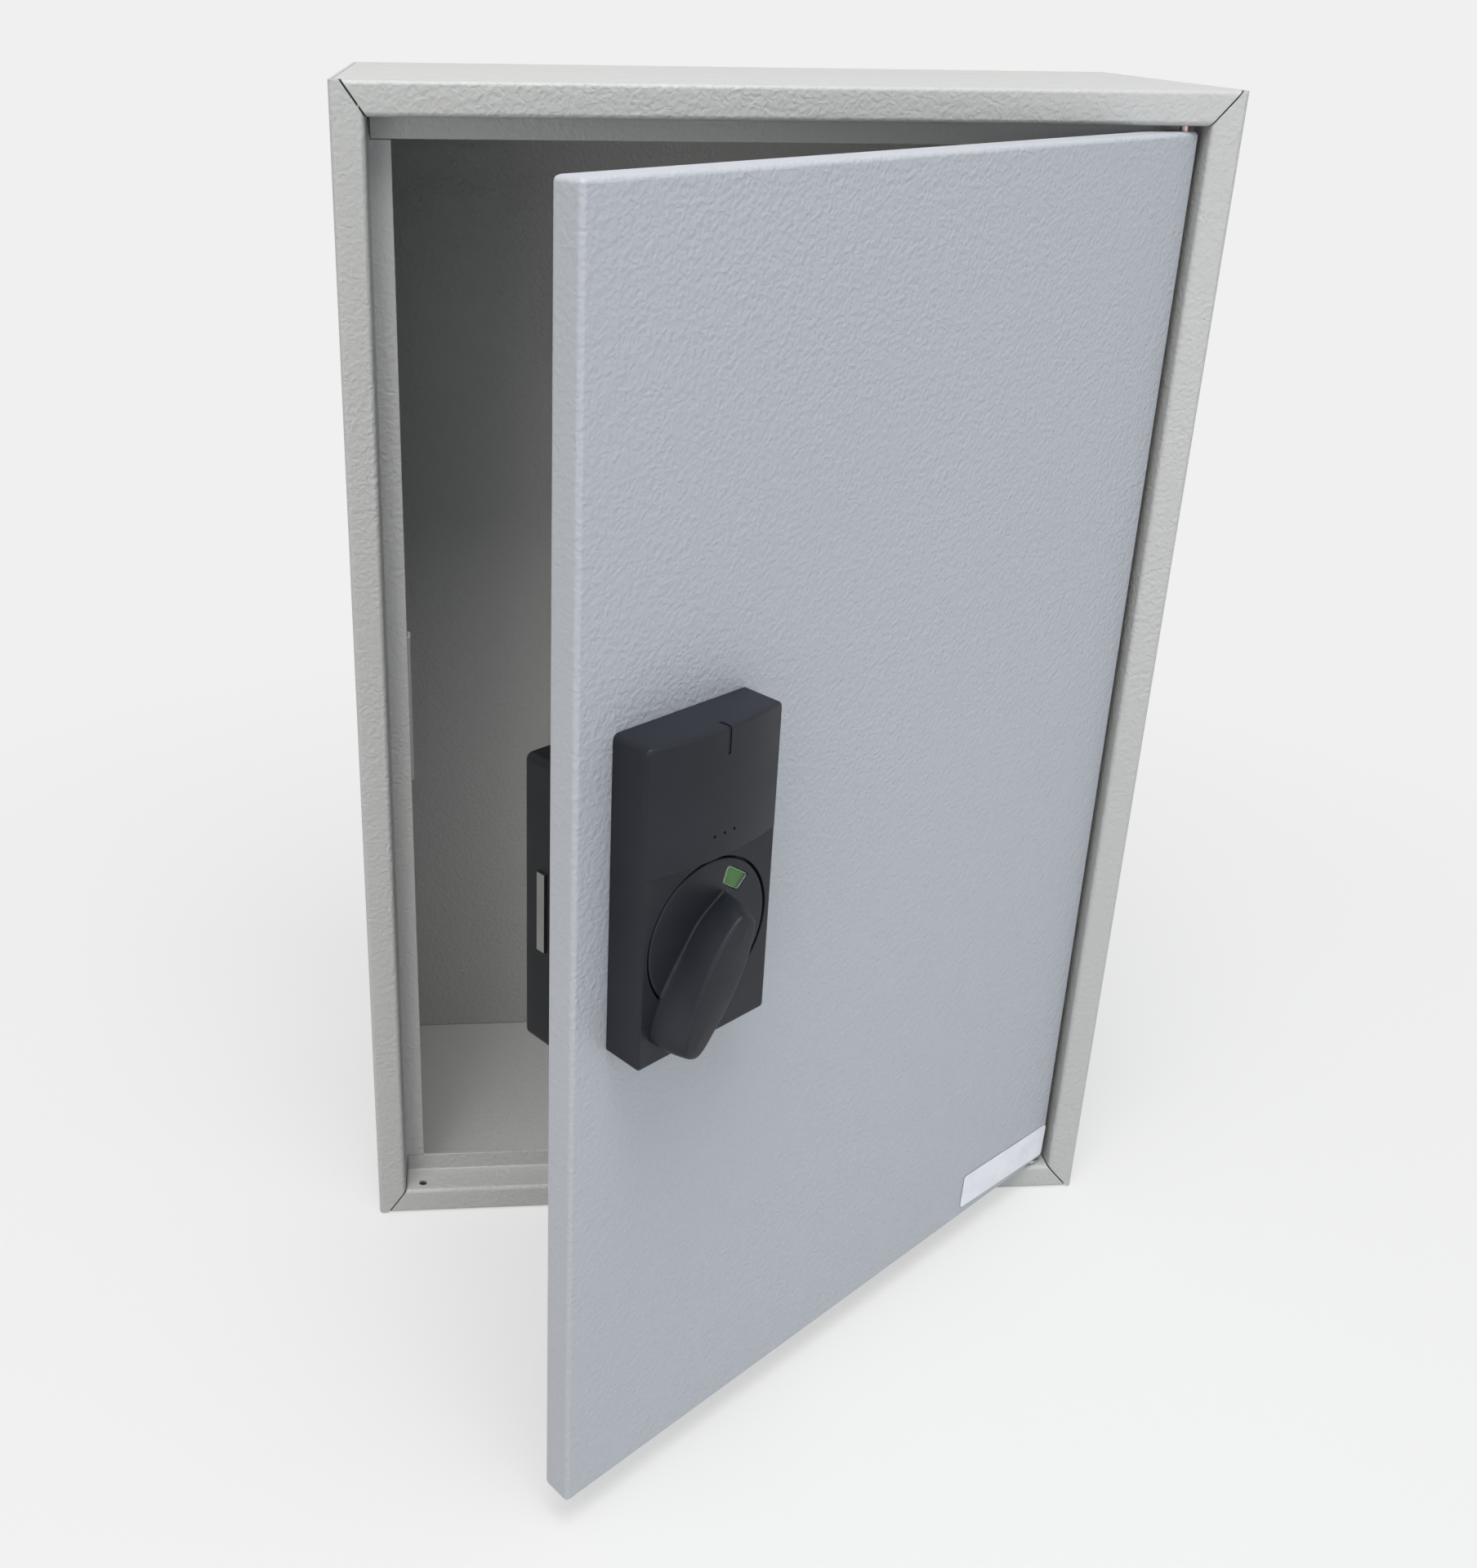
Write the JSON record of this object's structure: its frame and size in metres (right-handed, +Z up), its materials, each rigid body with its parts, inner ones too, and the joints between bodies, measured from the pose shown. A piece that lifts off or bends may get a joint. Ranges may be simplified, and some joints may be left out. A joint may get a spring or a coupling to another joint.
{
  "type": "key cabinet",
  "caption": "Wall-hung steel key cabinet with a pivoting door, folded front frame, electronic thumbturn lock with a sliding bolt, and punched hook bars inside.",
  "frame": {"origin": "centre of the back panel's rear face, which lies against the wall", "axes": "+Z up, -Y out of the wall towards the user, +X to the right as seen from the front, which is the hinge side"},
  "size_m": [0.4, 0.4042, 0.6],
  "materials": {
    "powder_coat": "light grey textured powder coat",
    "black_plastic": "matt black moulding",
    "bright_steel": "bright steel",
    "zinc_plate": "zinc plated",
    "coppered_steel": "coppered",
    "nylon": "natural nylon",
    "indicator_green": "green",
    "clear_plastic": "clear",
    "circuit_board": "green solder mask",
    "label_film": "white label film, blank",
    "cell_jacket": "plain dark jacket"
  },
  "bodies": {
    "cabinet": {"left_side_panel": "powder_coat", "right_side_panel": "powder_coat", "top_panel": "powder_coat", "bottom_panel": "powder_coat", "back_panel": "powder_coat", "strike_bracket": "powder_coat", "hinge_pin_top": "coppered_steel", "hinge_pin_bottom": "coppered_steel", "hinge_washer": "nylon", "rack_upright_left": "zinc_plate", "rack_upright_right": "zinc_plate", "hook_bar_1": "zinc_plate", "hook_bar_2": "zinc_plate", "hook_bar_3": "zinc_plate", "hook_bar_4": "zinc_plate", "hook_bar_5": "zinc_plate"},
    "door": {"door_pan": "powder_coat", "door_stiffener": "powder_coat", "door_bush_top": "nylon", "door_bush_bottom": "nylon", "id_label": "label_film", "lock_channel": "zinc_plate", "lock_base_plate": "zinc_plate", "lock_case": "black_plastic", "battery_cover": "black_plastic", "battery_1": "cell_jacket", "battery_2": "cell_jacket", "battery_3": "cell_jacket", "battery_4": "cell_jacket", "lock_screw_upper": "bright_steel", "lock_screw_lower": "bright_steel", "case_screw_upper": "bright_steel", "case_screw_lower": "bright_steel", "lock_housing": "black_plastic", "status_light": "clear_plastic", "reader_board": "circuit_board", "indicator_plate": "indicator_green"},
    "thumbturn": {"thumbturn": "black_plastic", "indicator_window": "clear_plastic", "spindle": "bright_steel", "drive_cam": "bright_steel"},
    "bolt": {"bolt": "bright_steel"}
  },
  "joints": [
    {"name": "door_hinge", "type": "hinge", "parent": "cabinet", "child": "door", "pos_m": [0.1754, -0.1732, 0], "axis": [0, 0, 1], "range_deg": [-37.04, 72.96]},
    {"name": "thumbturn_turn", "type": "hinge", "parent": "door", "child": "thumbturn", "pos_m": [-0.06502, -0.36077, 0.0009], "axis": [0.6024, -0.7982, 0], "range_deg": [0, 60]},
    {"name": "bolt_slide", "type": "slide", "parent": "door", "child": "bolt", "axis": [-0.7982, -0.6024, 0], "range_m": [0, 0.01]}
  ],
  "couplings": [
    {"joint": "bolt_slide", "follows": "thumbturn_turn", "m_per_rad": 0.009549}
  ]
}
